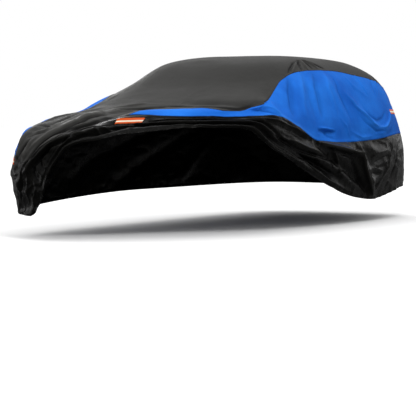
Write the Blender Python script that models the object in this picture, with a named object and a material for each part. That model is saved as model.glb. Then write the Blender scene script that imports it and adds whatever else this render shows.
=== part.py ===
"""Fitted cover for a compact hatchback, its front left corner drawn back over the bonnet.

Metres. The covered car would face -Y, with its left side at +X. Heights in the tables are
above the floor. The origin is under the crest of the roof, where the car carries the cover.

Every panel is cut from one draped surface, which is read by bearing and level. A bearing is
in degrees around the car: 0 is the front, 90 the left side, 180 the rear, -90 the right side.
A level is a place down the cloth: level 0 is the first line of RINGS, level 1 the second.
"""

import math
from collections import namedtuple

import bpy
import numpy as np
from mathutils import Vector
from mathutils.bvhtree import BVHTree

CLOTH = 0.002  # thickness of every panel
STRIP = 0.0012  # thickness of a reflective strip
STRIP_LIFT = 0.0009  # from the cloth to the strip
GAP = 0.0003  # between neighbouring pieces
CREST_HEIGHT = 1.441  # of the point under the roof that carries the cover

COLUMN_PITCH = (  # (bearing, spacing)
    (-180, 0.16), (-70, 0.14), (-45, 0.075), (0, 0.075), (100, 0.065), (140, 0.10), (180, 0.16),
)
TOP_ROWS = 13
SIDE_ROWS = 7
SKIRT_ROWS = 12

# The lines that give the cover its shape, from the roof down. Each is a rounded rectangle in
# plan. A higher square makes sharper corners.
Ring = namedtuple("Ring", "name front rear half front_square rear_square front_z side_z rear_z")
RINGS = (
    Ring("crest", -0.36, 1.30, 0.14, 2.3, 2.4, 1.390, 1.443, 1.405),
    Ring("roof", -0.47, 1.62, 0.515, 3.2, 4.4, 1.350, 1.400, 1.390),
    Ring("glass", -0.83, 1.885, 0.71, 3.5, 5.2, 1.145, 1.245, 1.225),
    Ring("belt", -1.32, 2.01, 0.845, 4.4, 4.6, 0.960, 1.005, 1.000),
    Ring("bonnet", -1.755, 2.10, 0.900, 4.9, 4.4, 0.890, 0.855, 0.840),
    Ring("edge", -2.13, 2.175, 0.915, 4.0, 4.4, 0.755, 0.740, 0.700),
    Ring("waist", -2.215, 2.20, 0.922, 4.15, 4.6, 0.540, 0.560, 0.535),
    Ring("foot", -2.225, 2.195, 0.885, 3.65, 4.9, 0.180, 0.190, 0.210),
)

# Where the corner is drawn back, a ring is cut off by a straight line in plan, on which
# x - y is reach, and it is lifted between two pairs of bearings.
Drawn = namedtuple("Drawn", "ring reach lift rise_from rise_to fall_from fall_to")
DRAWN = (
    Drawn(4, 1.89, 0.040, -6, 12, 64, 84),
    Drawn(5, 2.07, 0.090, -4, 22, 58, 74),
)
REACH_BLEND = 20  # a higher power makes a sharper corner where the line meets the ring

# Seam and hem lines, as (bearing, level) at places along them. The side panels run between
# their tips, where their top seam meets the skirt seam.
LEFT_TIPS = (10, 152)
RIGHT_TIPS = (-152, -33)
LEFT_TOP_SEAM = (
    (10, 4.05), (13, 3.75), (17, 3.35), (22, 3.0), (29, 2.85), (38, 2.95), (50, 3.15),
    (54, 2.8), (56, 2.3), (58, 2.05), (65, 1.7), (75, 1.6), (98, 1.58), (113, 1.75),
    (128, 2.0), (140, 2.8), (152, 4.5),
)
RIGHT_TOP_SEAM = (
    (-152, 4.5), (-140, 2.8), (-128, 2.0), (-113, 1.75), (-98, 1.58), (-75, 1.6), (-65, 1.75),
    (-56, 2.05), (-46, 2.3), (-39, 2.65), (-37, 3.2), (-36, 3.9), (-35, 4.6), (-34, 5.15),
    (-33, 5.62),
)
SKIRT_SEAM = (
    (-180, 4.5), (-152, 4.5), (-140, 4.1), (-90, 4.3), (-65, 4.6), (-50, 5.1), (-42, 5.38),
    (-33, 5.62), (-27, 5.85), (-20, 5.4), (-12, 4.9), (-6, 4.25), (0, 4.0), (10, 4.05),
    (32, 4.1), (57, 3.85), (66, 3.95), (76, 4.35), (88, 5.1), (98, 5.2), (115, 5.05),
    (130, 4.6), (152, 4.5), (180, 4.5),
)
HEM = (
    (-180, 6.8), (-90, 6.75), (-24, 7.0), (-16, 6.6), (-12, 6.05), (-6, 5.35), (0, 5.15),
    (20, 5.2), (40, 5.03), (59, 4.98), (70, 5.5), (80, 6.08), (92, 6.5), (108, 6.9),
    (116, 6.98), (132, 6.78), (180, 6.8),
)
SKIRT_JOINS = (-45, 36, 105, -140)  # bearings where the front, left, rear and right skirts meet
NEAR_TIP = 0.06  # share of the last column by which a side panel stops short of its tip

STRIP_WIDTH = 0.045
STRIP_STEPS = 10
STRIP_ROWS = 5
STRIPS = (  # name, bearings and levels of the two ends, and the panel that it is sewn to
    ("strip_front_left", (7, 19), (4.35, 4.4), "skirt_front"),
    ("strip_front_right", (-41, -33.5), (5.76, 5.84), "skirt_front"),
    ("strip_rear_left", (127, 137), (3.25, 3.25), "side_panel_left"),
    ("strip_rear_right", (-137, -127), (3.25, 3.25), "side_panel_right"),
)
STRIP_REACH = 0.05  # how far outside the cloth the search for its faces starts


def wrapped(degrees):
    return (np.asarray(degrees, float) + 180) % 360 - 180


def smoothstep(x, start, stop):
    f = np.clip((np.asarray(x, float) - start) / (stop - start), 0, 1)
    return f * f * (3 - 2 * f)


def ring_points(bearing):
    """The point of each ring at each bearing: an array of ring, bearing and xyz."""
    bearing = wrapped(bearing)
    across = np.sin(np.radians(bearing))
    along = -np.cos(np.radians(bearing))
    found = []
    for ring in RINGS:
        square = np.where(along < 0, ring.front_square, ring.rear_square)
        radius = (np.abs(across) ** square + np.abs(along) ** square) ** (-1 / square)
        half_length = (ring.rear - ring.front) / 2
        middle = (ring.rear + ring.front) / 2
        x = ring.half * across * radius
        y = half_length * along * radius
        end_z = np.where(along < 0, ring.front_z, ring.rear_z)
        z = ring.side_z + (end_z - ring.side_z) * (y / half_length) ** 2
        found.append(np.stack([x, y + middle, z], -1))
    found = np.array(found)
    for drawn in DRAWN:
        ring = RINGS[drawn.ring]
        middle = np.array([0, (ring.rear + ring.front) / 2])
        plan = found[drawn.ring][:, :2] - middle
        forward = np.maximum(plan[:, 0] - plan[:, 1], 1e-3)
        pull = (drawn.reach + middle[1]) / forward
        pull = (1 + pull**-REACH_BLEND) ** (-1 / REACH_BLEND)
        found[drawn.ring][:, :2] = middle + plan * pull[:, None]
        window = smoothstep(bearing, drawn.rise_from, drawn.rise_to)
        window *= 1 - smoothstep(bearing, drawn.fall_from, drawn.fall_to)
        found[drawn.ring][:, 2] += drawn.lift * window
    return found


def base_points(bearing, level):
    """Points of the smooth draped surface, by a cubic through the rings at each bearing."""
    bearing = np.asarray(bearing, float)
    level = np.asarray(level, float)
    rings = ring_points(bearing)
    last = len(RINGS) - 1
    span = np.linalg.norm(rings[1:] - rings[:-1], axis=-1)[..., None]
    slope = (rings[1:] - rings[:-1]) / span
    tangent = np.concatenate([slope[:1], slope[:-1], slope[-1:]])
    share = span[1:] / (span[1:] + span[:-1])
    tangent[1:last] = slope[:-1] * share + slope[1:] * (1 - share)
    crest = RINGS[0]
    half_length = (crest.rear - crest.front) / 2
    from_middle = (rings[0, :, 1] - (crest.rear + crest.front) / 2) / half_length
    end_drop = np.where(from_middle < 0, crest.front_z, crest.rear_z) - crest.side_z
    tangent[0, :, 2] = tangent[0, :, 1] * 2 * end_drop * from_middle / half_length
    index = np.clip(level.astype(int), 0, last - 1)
    f = (level - index)[:, None]
    column = np.arange(len(bearing))
    a, b = rings[index, column], rings[index + 1, column]
    ta = tangent[index, column] * span[index, column]
    tb = tangent[index + 1, column] * span[index, column]
    return (
        (2 * f**3 - 3 * f**2 + 1) * a
        + (f**3 - 2 * f**2 + f) * ta
        + (3 * f**2 - 2 * f**3) * b
        + (f**3 - f**2) * tb
    )


def line_level(table, bearing):
    """The level of a seam or hem at each bearing, by a smooth curve through its table."""
    at, levels = np.array(table, float).T
    chord = np.diff(levels) / np.diff(at)
    level_with_both = chord[:-1] * chord[1:] > 0
    total = np.where(level_with_both, chord[:-1] + chord[1:], 1)
    inner = np.where(level_with_both, 2 * chord[:-1] * chord[1:] / total, 0)
    slope = np.concatenate([chord[:1], inner, chord[-1:]])
    bearing = np.clip(bearing, at[0], at[-1])
    i = np.clip(np.searchsorted(at, bearing, side="right") - 1, 0, len(at) - 2)
    width = at[i + 1] - at[i]
    f = (bearing - at[i]) / width
    return (
        (2 * f**3 - 3 * f**2 + 1) * levels[i]
        + (f**3 - 2 * f**2 + f) * slope[i] * width
        + (3 * f**2 - 2 * f**3) * levels[i + 1]
        + (f**3 - f**2) * slope[i + 1] * width
    )


# Folds of the cloth. A crease follows its (bearing, level) places; a positive height is a ridge.
Crease = namedtuple("Crease", "name height width places")
CREASES = (
    Crease(
        "bonnet_valley", -0.030, 0.055,
        ((8, 2.8), (0, 2.9), (-4, 3.9), (-10, 4.7), (-20, 5.3), (-25, 5.8)),
    ),
    Crease(
        "bonnet_lip", 0.034, 0.045,
        ((8, 4.5), (-2, 4.6), (-12, 4.9), (-19, 5.3), (-26, 5.95), (-30, 6.6)),
    ),
    Crease("bonnet_roll", 0.026, 0.070, ((-13, 2.7), (-18, 3.2), (-17, 3.8), (-16, 4.5), (-22, 5.2))),
    Crease("bonnet_hollow", -0.020, 0.050, ((-22, 3.2), (-25, 3.9), (-27, 4.6), (-33, 5.3))),
    Crease("corner_roll", 0.020, 0.050, ((-32, 4.2), (-33, 4.9), (-33, 5.6), (-36, 6.3))),
    Crease("sill_roll", 0.030, 0.075, ((9, 4.1), (17, 3.55), (26, 3.2), (38, 3.3))),
    Crease("screen_foot", -0.018, 0.050, ((16, 2.55), (28, 2.6), (42, 2.75), (50, 2.9))),
    Crease(
        "quarter_swag", 0.020, 0.045,
        ((98, 2.5), (106, 3.0), (112, 3.9), (119, 4.45), (124, 4.1), (126, 3.5)),
    ),
    Crease("door_hollow_a", -0.012, 0.050, ((63, 1.8), (65, 2.6), (71, 3.8))),
    Crease("door_hollow_b", -0.016, 0.050, ((73, 1.65), (75, 2.6), (83, 3.9))),
    Crease("door_roll", 0.012, 0.050, ((88, 1.75), (91, 2.5), (96, 3.3), (102, 4.3))),
    Crease("shoulder_ledge", 0.040, 0.045, ((88, 5.2), (98, 5.45), (107, 5.6))),
    Crease("skirt_fold", 0.034, 0.045, ((105, 5.15), (109, 6.0), (113, 6.5), (116, 6.98))),
    Crease("skirt_fan_a", -0.034, 0.055, ((90, 5.7), (101, 6.2), (112, 6.75))),
    Crease("skirt_fan_b", 0.024, 0.040, ((82, 5.2), (92, 5.95), (104, 6.5), (113, 6.85))),
    Crease("skirt_fan_c", 0.026, 0.045, ((62, 4.35), (72, 4.7), (82, 5.4), (90, 5.9))),
    Crease("rear_crinkle_a", 0.014, 0.045, ((109, 6.6), (115, 6.5), (121, 6.2), (125, 5.9))),
    Crease("rear_crinkle_b", 0.012, 0.045, ((109, 5.3), (116, 5.7), (123, 5.6))),
    Crease("rear_pull_left", 0.018, 0.060, ((158, 4.8), (163, 5.6), (161, 6.6))),
    Crease("rear_pull_right", 0.018, 0.060, ((-160, 4.7), (-166, 5.5), (-163, 6.7))),
    Crease("right_swag_a", 0.020, 0.055, ((-118, 2.4), (-110, 3.2), (-100, 3.9), (-92, 4.2))),
    Crease("right_swag_b", -0.014, 0.055, ((-66, 2.2), (-70, 3.0), (-76, 3.9))),
    Crease("right_skirt_a", 0.026, 0.060, ((-96, 4.5), (-86, 5.3), (-74, 6.0), (-64, 6.6))),
    Crease("right_skirt_b", 0.022, 0.055, ((-112, 4.7), (-104, 5.5), (-92, 6.2), (-80, 6.7))),
    Crease("right_skirt_c", -0.018, 0.055, ((-122, 5.0), (-116, 5.8), (-108, 6.6))),
    Crease("nose_fold", 0.012, 0.050, ((-26, 6.0), (-32, 6.4), (-44, 6.7))),
)
CREASE_END = 0.02  # the share of its length over which a crease still has some height at its ends

# Pleats that take up the drawn-back skirt, side by side above the hem and along it.
PLEATS = 2
PLEAT_HEIGHT = 0.016
PLEAT_DEPTH = 0.68  # in levels above the hem
PLEAT_FADE = (0.8, 1.05)  # shares of that depth between which they fade out
PLEAT_WINDOW = (-20, -2, 88, 104)  # bearings where the pleats start, are full, thin out and end

# What the mirrors push out: (x, y, z, height, radius).
BUMPS = (
    (0.84, -0.74, 0.99, 0.075, 0.085),
    (-0.84, -0.74, 0.99, 0.060, 0.085),
)


def path_distance(points, path):
    """How far each point is from a path, and the share of the path's length nearest to it."""
    runs = np.linalg.norm(np.diff(path, axis=0), axis=1)
    starts = np.concatenate([[0], np.cumsum(runs)])
    best = np.full(len(points), np.inf)
    share = np.zeros(len(points))
    for i, run in enumerate(runs):
        step = path[i + 1] - path[i]
        along = np.clip((points - path[i]) @ step / run**2, 0, 1)
        away = np.linalg.norm(points - path[i] - along[:, None] * step, axis=1)
        nearer = away < best
        best = np.where(nearer, away, best)
        share = np.where(nearer, (starts[i] + along * run) / starts[-1], share)
    return best, share


def fold_height(bearing, level, points):
    """How far the folds push the cloth out from the smooth surface."""
    height = np.zeros(len(points))
    for crease in CREASES:
        at, levels = np.array(crease.places, float).T
        path = base_points(at, levels)
        away, share = path_distance(points, path)
        taper = np.sqrt(np.sin(math.pi * np.clip(share, CREASE_END, 1 - CREASE_END)))
        height += crease.height * taper * np.exp(-((away / crease.width) ** 2))
    above_hem = (line_level(HEM, wrapped(bearing)) - level) / PLEAT_DEPTH
    start, full, thin, end = PLEAT_WINDOW
    window = smoothstep(wrapped(bearing), start, full)
    window *= 1 - smoothstep(wrapped(bearing), thin, end)
    window *= 1 - smoothstep(above_hem, *PLEAT_FADE)
    height += PLEAT_HEIGHT * window * np.sin(2 * math.pi * PLEATS * above_hem)
    for x, y, z, out, radius in BUMPS:
        away = np.linalg.norm(points - np.array([x, y, z]), axis=1)
        height += out * np.exp(-((away / radius) ** 2))
    return height


def surface_normals(shape, bearing, level):
    """Outward unit normals of a surface function, from points close on either side."""
    turn, drop = 0.25, 0.01
    around = shape(bearing + turn, level) - shape(bearing - turn, level)
    down = shape(bearing, level + drop) - shape(bearing, level - drop)
    normal = np.cross(down, around)
    return normal / np.linalg.norm(normal, axis=1)[:, None]


def cloth_points(bearing, level):
    """Points of the folded cloth, at the middle of its thickness."""
    points = base_points(bearing, level)
    normals = surface_normals(base_points, bearing, level)
    return points + normals * fold_height(bearing, level, points)[:, None]


def arc_columns():
    """Bearings of the grid's columns, spaced by COLUMN_PITCH along the cover's edge."""
    fine = np.arange(-180, 180.01, 0.25)
    edge = base_points(fine, np.full(len(fine), 5.0))
    pitch = np.interp(fine, *np.array(COLUMN_PITCH, float).T)
    steps = np.linalg.norm(np.diff(edge, axis=0), axis=1)
    count = np.concatenate([[0], np.cumsum(steps / ((pitch[1:] + pitch[:-1]) / 2))])
    total = round(count[-1])
    columns = np.interp(np.arange(total) * count[-1] / total, count, fine)
    for fixed in (*LEFT_TIPS, *RIGHT_TIPS, *SKIRT_JOINS):
        columns[np.argmin(np.abs(columns - fixed))] = fixed
    return columns


def between(columns, start, stop):
    """The columns from one fixed bearing round to another, both included."""
    if start <= stop:
        return columns[(columns >= start) & (columns <= stop)]
    return np.concatenate([columns[columns >= start], columns[columns <= stop]])


def top_edge(columns):
    """The level where the top panel ends: its side seams, or the skirt seam front and rear."""
    level = line_level(SKIRT_SEAM, columns)
    for tips, seam in ((LEFT_TIPS, LEFT_TOP_SEAM), (RIGHT_TIPS, RIGHT_TOP_SEAM)):
        beside = (columns > tips[0]) & (columns < tips[1])
        level = np.where(beside, line_level(seam, columns), level)
    return level


def grid(columns, start, stop, rows, crowding=1.0):
    """Points and normals of the cloth between two lines, as arrays of row, column and xyz.

    With a crowding over 1 the rows are closer together towards the stop line.
    """
    share = 1 - (1 - np.linspace(0, 1, rows + 1)[:, None]) ** crowding
    level = start + (stop - start) * share
    bearing = np.broadcast_to(columns, level.shape)
    flat = (bearing.ravel(), level.ravel())
    shape = (*level.shape, 3)
    normals = surface_normals(cloth_points, *flat)
    return cloth_points(*flat).reshape(shape), normals.reshape(shape)


def draw_in(points, normals, inside, closed=False):
    """Moves an edge of a panel half a gap towards the line of points inside it."""
    if closed:
        tangent = np.roll(points, -1, axis=0) - np.roll(points, 1, axis=0)
    else:
        tangent = np.gradient(points, axis=0)
    across = np.cross(normals, tangent)
    across /= np.linalg.norm(across, axis=1)[:, None]
    across *= np.sign(np.einsum("ij,ij->i", across, inside - points))[:, None]
    return points + across * GAP / 2


def material(name, colour, roughness):
    made = bpy.data.materials.new(name)
    made.use_nodes = True
    shader = made.node_tree.nodes["Principled BSDF"]
    shader.inputs["Base Color"].default_value = (*colour, 1)
    shader.inputs["Roughness"].default_value = roughness
    made.diffuse_color = (*colour, 1)
    return made


def add_object(name, vertices, faces, surface):
    mesh = bpy.data.meshes.new(name)
    mesh.from_pydata((vertices - np.array([0, 0, CREST_HEIGHT])).tolist(), [], faces)
    mesh.materials.append(surface)
    mesh.validate()
    made = bpy.data.objects.new(name, mesh)
    bpy.context.scene.collection.objects.link(made)
    return made


def thick_panel(name, points, normals, surface, thickness=CLOTH, closed=False, cap=()):
    """A closed solid around a grid of points; closed joins its last column to its first."""
    rows, count = points.shape[:2]
    half = normals * thickness / 2
    vertices = np.concatenate([(points + half).reshape(-1, 3), (points - half).reshape(-1, 3)])
    under = rows * count
    flat = points.reshape(-1, 3)
    faces = []
    for row in range(rows - 1):
        for column in range(count if closed else count - 1):
            beside = (column + 1) % count
            a, b = row * count + column, row * count + beside
            c, d = a + count, b + count
            if np.linalg.norm(flat[a] - flat[d]) < np.linalg.norm(flat[b] - flat[c]):
                cell = ((a, c, d), (a, d, b))
            else:
                cell = ((a, c, b), (c, d, b))
            faces += cell
            faces += [tuple(corner + under for corner in reversed(face)) for face in cell]
    for a, b, c in cap:
        faces.append((a, b, c))
        faces.append((a + under, c + under, b + under))
    first = [row * count for row in range(rows)]
    bottom = [(rows - 1) * count + column for column in range(count)]
    if closed:
        walls = [(bottom + bottom[:1], False)]
    else:
        last = [corner + count - 1 for corner in first]
        walls = [(first, False), (bottom, False), (last, True), (list(range(count)), True)]
    for corners, turned in walls:
        for a, b in zip(corners, corners[1:]):
            wall = ((a, a + under, b + under), (a, b + under, b))
            faces += [tuple(reversed(face)) for face in wall] if turned else wall
    return add_object(name, vertices, faces, surface)


def crest_cap(points):
    """Triangles that close the narrow loop along the crest, from its front to its rear."""
    order = np.argsort(points[:, 1])
    front, rear = int(order[0]), int(order[-1])
    count = len(points)
    left = [front]
    while left[-1] != rear:
        left.append((left[-1] + 1) % count)
    right = [front]
    while right[-1] != rear:
        right.append((right[-1] - 1) % count)
    i, j = 0, 0
    found = []
    while i < len(left) - 1 or j < len(right) - 1:
        next_left = points[left[i + 1], 1] if i < len(left) - 1 else np.inf
        next_right = points[right[j + 1], 1] if j < len(right) - 1 else np.inf
        if next_left <= next_right:
            if left[i] != right[j]:
                found.append((left[i], left[i + 1], right[j]))
            elif j < len(right) - 1:
                found.append((left[i], left[i + 1], right[j + 1]))
                j += 1
            i += 1
        else:
            if right[j + 1] != left[i]:
                found.append((left[i], right[j + 1], right[j]))
            j += 1
    return [face for face in found if len(set(face)) == 3]


def make_top(columns, surface):
    edge = top_edge(columns)
    points, normals = grid(columns, np.zeros(len(columns)), edge, TOP_ROWS, crowding=1.3)
    cap = crest_cap(points[0])
    points[-1] = draw_in(points[-1], normals[-1], points[-2], closed=True)
    return thick_panel("top_panel", points, normals, surface, closed=True, cap=cap)


def make_side(name, columns, tips, seam, surface):
    """A side panel, which stops just short of its tips."""
    columns = between(columns, *tips)
    top, bottom = line_level(seam, columns), line_level(SKIRT_SEAM, columns)
    points, normals = grid(columns, top, bottom, SIDE_ROWS)
    for end, inner in ((0, 1), (-1, -2)):
        points[:, end] += (points[:, inner] - points[:, end]) * NEAR_TIP
        normals[:, end] += (normals[:, inner] - normals[:, end]) * NEAR_TIP
    points[0] = draw_in(points[0], normals[0], points[1])
    points[-1] = draw_in(points[-1], normals[-1], points[-2])
    return thick_panel(name, points, normals, surface)


def make_skirt(name, columns, joins, surface):
    columns = between(columns, *joins)
    top, hem = line_level(SKIRT_SEAM, columns), line_level(HEM, columns)
    points, normals = grid(columns, top, hem, SKIRT_ROWS, crowding=1.4)
    points[0] = draw_in(points[0], normals[0], points[1])
    for end, inner in ((0, 1), (-1, -2)):
        points[:, end] = draw_in(points[:, end], normals[:, end], points[:, inner])
    return thick_panel(name, points, normals, surface)


def make_strip(name, folds, bearings, levels, panel, surface):
    """A reflective strip on the faces of a panel, along the (bearing, level) ends of its middle.

    It also bends at each of the panel's columns, in folds, so that it follows the panel's faces.
    """
    inside = folds[(folds > bearings[0]) & (folds < bearings[1])]
    columns = np.union1d(np.linspace(*bearings, STRIP_STEPS + 1), inside)
    middle = np.interp(columns, bearings, levels)
    step = 0.05
    drop = cloth_points(columns, middle + step) - cloth_points(columns, middle)
    half = STRIP_WIDTH / 2 * step / np.linalg.norm(drop, axis=1)
    points, normals = grid(columns, middle - half, middle + half, STRIP_ROWS)
    faces = BVHTree.FromPolygons(
        [corner.co for corner in panel.data.vertices],
        [face.vertices for face in panel.data.polygons],
    )
    origin = np.array([0, 0, CREST_HEIGHT])
    for place in np.ndindex(points.shape[:2]):
        out = normals[place]
        start = points[place] + out * STRIP_REACH - origin
        hit = faces.ray_cast(Vector(start), Vector(-out))[0]
        points[place] = np.array(hit) + origin + out * (STRIP_LIFT + STRIP / 2)
    return thick_panel(name, points, normals, surface, thickness=STRIP)


def main():
    for old in list(bpy.data.objects):
        bpy.data.objects.remove(old, do_unlink=True)
    charcoal = material("charcoal_cloth", (0.075, 0.073, 0.070), 0.62)
    blue = material("blue_cloth", (0.02, 0.13, 0.72), 0.5)
    black = material("black_cloth", (0.016, 0.016, 0.013), 0.32)
    orange = material("orange_strip", (0.80, 0.18, 0.03), 0.4)
    columns = arc_columns()
    made = [
        make_top(columns, charcoal),
        make_side("side_panel_left", columns, LEFT_TIPS, LEFT_TOP_SEAM, blue),
        make_side("side_panel_right", columns, RIGHT_TIPS, RIGHT_TOP_SEAM, blue),
    ]
    for i, name in enumerate(("skirt_front", "skirt_left", "skirt_rear", "skirt_right")):
        joins = (SKIRT_JOINS[i], SKIRT_JOINS[(i + 1) % len(SKIRT_JOINS)])
        made.append(make_skirt(name, columns, joins, black))
    panels = {panel.name: panel for panel in made}
    for name, bearings, levels, panel in STRIPS:
        make_strip(name, columns, bearings, levels, panels[panel], orange)


main()
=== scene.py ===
"""Look of the fitted car cover, its front left corner drawn back over the bonnet.

Every panel is a thin sheet on the same draped surface as the solids, read by bearing and level.
A bearing is in degrees around the car: 0 is the front, 90 the left side, 180 the rear. A level
is a place down the cloth, counted in rings from the crest. Lengths are in metres, with heights
above the floor, but the heights and widths of creases are in millimetres.
"""

import math
from collections import namedtuple

import bpy
import numpy as np
from mathutils import Matrix, Vector


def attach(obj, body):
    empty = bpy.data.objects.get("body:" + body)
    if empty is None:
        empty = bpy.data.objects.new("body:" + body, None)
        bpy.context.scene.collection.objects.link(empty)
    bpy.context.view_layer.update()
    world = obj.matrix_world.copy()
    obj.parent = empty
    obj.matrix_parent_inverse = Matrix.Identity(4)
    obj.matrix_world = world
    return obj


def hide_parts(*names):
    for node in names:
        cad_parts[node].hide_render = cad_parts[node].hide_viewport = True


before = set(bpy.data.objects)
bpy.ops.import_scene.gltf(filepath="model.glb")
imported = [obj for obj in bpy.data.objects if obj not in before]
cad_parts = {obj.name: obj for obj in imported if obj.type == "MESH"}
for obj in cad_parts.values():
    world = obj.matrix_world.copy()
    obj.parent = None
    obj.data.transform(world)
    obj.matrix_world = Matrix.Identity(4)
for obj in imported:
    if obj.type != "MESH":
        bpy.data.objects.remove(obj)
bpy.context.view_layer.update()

CREST_HEIGHT = 1.441  # of the frame's origin above the floor
MM = 1000  # millimetres in a metre
SHEET = 0.0012  # thickness of the cloth
STRIP_WIDTH = 0.045
STRIP_THICKNESS = 0.0008
STRIP_LIFT = 0.0005  # of a strip's back off the cloth
IMAGE = 416  # pixels along each side of the picture

# ---- the draped surface

Ring = namedtuple("Ring", "name front rear half front_square rear_square front_z side_z rear_z")
RINGS = (
    Ring("crest", -0.36, 1.30, 0.14, 2.3, 2.4, 1.390, 1.443, 1.405),
    Ring("roof", -0.47, 1.62, 0.515, 3.2, 4.4, 1.350, 1.400, 1.390),
    Ring("glass", -0.83, 1.885, 0.71, 3.5, 5.2, 1.145, 1.245, 1.225),
    Ring("belt", -1.32, 2.01, 0.845, 4.4, 4.6, 0.960, 1.005, 1.000),
    Ring("bonnet", -1.755, 2.10, 0.900, 4.9, 4.4, 0.890, 0.855, 0.840),
    Ring("edge", -2.13, 2.175, 0.915, 4.0, 4.4, 0.755, 0.740, 0.700),
    Ring("waist", -2.215, 2.20, 0.922, 4.15, 4.6, 0.540, 0.560, 0.535),
    Ring("foot", -2.225, 2.195, 0.885, 3.65, 4.9, 0.180, 0.190, 0.210),
)
CREST = RINGS[0]
CREST_MIDDLE = (CREST.front + CREST.rear) / 2
CREST_HALF = (CREST.rear - CREST.front) / 2

# The drawn-back corner: the slanting line that cuts a ring's corner, how far the ring is lifted
# there, and the bearings between which the lift rises and falls.
Drawn = namedtuple("Drawn", "ring reach lift bearings")
DRAWN = (
    Drawn(4, 1.89, 0.040, (-6, 12, 64, 84)),
    Drawn(5, 2.07, 0.090, (-4, 22, 58, 74)),
)
REACH_BLEND = 20  # how sharply the slanting line meets the ring

# Seams and hem, as bearings and levels. Beside the left pillar and at the nose the seams run a
# little nearer to the photographed ones than the solids' seams do.
LEFT_TIPS = (10, 152)
RIGHT_TIPS = (-152, -33)
LEFT_TOP_SEAM = (
    (10, 4.05), (13, 3.75), (17, 3.35), (22, 3), (29, 2.85), (38, 2.95), (47, 3.1),
    (49.5, 2.9), (52.8, 2.9), (53.8, 2.65), (55.5, 2.3), (58, 2), (65, 1.7), (75, 1.6),
    (98, 1.58), (113, 1.75), (128, 2), (140, 2.8), (152, 4.5),
)
RIGHT_TOP_SEAM = (
    (-152, 4.5), (-140, 2.8), (-128, 2), (-113, 1.75), (-98, 1.58), (-75, 1.6), (-65, 1.75),
    (-56, 2.05), (-46, 2.3), (-39, 2.65), (-37, 3.2), (-36, 3.9), (-35, 4.6), (-34, 5.15),
    (-33, 5.62),
)
SKIRT_SEAM = (
    (-180, 4.5), (-152, 4.5), (-140, 4.1), (-90, 4.3), (-65, 4.6), (-50, 5.1), (-42, 5.38),
    (-33, 5.62), (-27, 5.85), (-20, 5.4), (-12, 4.9), (-6, 4.32), (0, 4.12), (10, 4.05),
    (32, 4.1), (57, 3.85), (66, 3.95), (76, 4.35), (88, 5.1), (98, 5.2), (115, 5.05),
    (130, 4.6), (152, 4.5), (180, 4.5),
)
HEM = (
    (-180, 6.8), (-90, 6.75), (-24, 7), (-16, 6.6), (-12, 6.05), (-6, 5.35), (0, 5.15),
    (20, 5.2), (40, 5.03), (59, 4.98), (70, 5.5), (80, 6.08), (92, 6.5), (108, 6.9),
    (116, 6.98), (132, 6.78), (180, 6.8),
)
SKIRT_JOINS = (-45, 36, 105, -140)
Strip = namedtuple("Strip", "place bearings levels tip")  # tip: how far the cloth tips upright
STRIPS = (
    Strip("front_left", (7, 19), (4.37, 4.42), 0.65),
    Strip("front_right", (-41, -33.5), (5.76, 5.84), 0),
    Strip("rear_left", (127, 137), (3.25, 3.25), 0),
    Strip("rear_right", (-137, -127), (3.25, 3.25), 0),
)
TURN, DROP = 0.25, 0.01  # steps of bearing and level that a slope is measured over


def wrapped(degrees):
    return (np.asarray(degrees, float) + 180) % 360 - 180


def smoothstep(x, start, stop):
    f = np.clip((np.asarray(x, float) - start) / (stop - start), 0, 1)
    return f * f * (3 - 2 * f)


def window(x, rise, full, fall, end):
    """1 from full to fall, and 0 before rise and after end."""
    return smoothstep(x, rise, full) * (1 - smoothstep(x, fall, end))


def cubic(f, a, slope_a, b, slope_b):
    """A smooth curve from a to b, by the slopes at its two ends."""
    return (
        (2 * f**3 - 3 * f**2 + 1) * a
        + (f**3 - 2 * f**2 + f) * slope_a
        + (3 * f**2 - 2 * f**3) * b
        + (f**3 - f**2) * slope_b
    )


def ring_points(bearing):
    """The point of each ring at each bearing: an array of ring, bearing and xyz."""
    bearing = wrapped(bearing)
    across = np.sin(np.radians(bearing))
    along = -np.cos(np.radians(bearing))
    found = []
    for ring in RINGS:
        square = np.where(along < 0, ring.front_square, ring.rear_square)
        radius = (np.abs(across) ** square + np.abs(along) ** square) ** (-1 / square)
        half_length = (ring.rear - ring.front) / 2
        middle = (ring.rear + ring.front) / 2
        x = ring.half * across * radius
        y = half_length * along * radius
        end_z = np.where(along < 0, ring.front_z, ring.rear_z)
        z = ring.side_z + (end_z - ring.side_z) * (y / half_length) ** 2
        found.append(np.stack([x, y + middle, z], -1))
    found = np.array(found)
    for drawn in DRAWN:
        ring = RINGS[drawn.ring]
        middle = np.array([0, (ring.rear + ring.front) / 2])
        plan = found[drawn.ring][:, :2] - middle
        forward = np.maximum(plan[:, 0] - plan[:, 1], 1e-3)
        pull = (drawn.reach + middle[1]) / forward
        pull = (1 + pull**-REACH_BLEND) ** (-1 / REACH_BLEND)
        found[drawn.ring][:, :2] = middle + plan * pull[:, None]
        found[drawn.ring][:, 2] += drawn.lift * window(bearing, *drawn.bearings)
    return found


def crest_rise(y):
    """Height of the roof's crest at a place along the car."""
    along = (y - CREST_MIDDLE) / CREST_HALF
    end_z = np.where(along < 0, CREST.front_z, CREST.rear_z)
    return CREST.side_z + (end_z - CREST.side_z) * along**2


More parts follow.
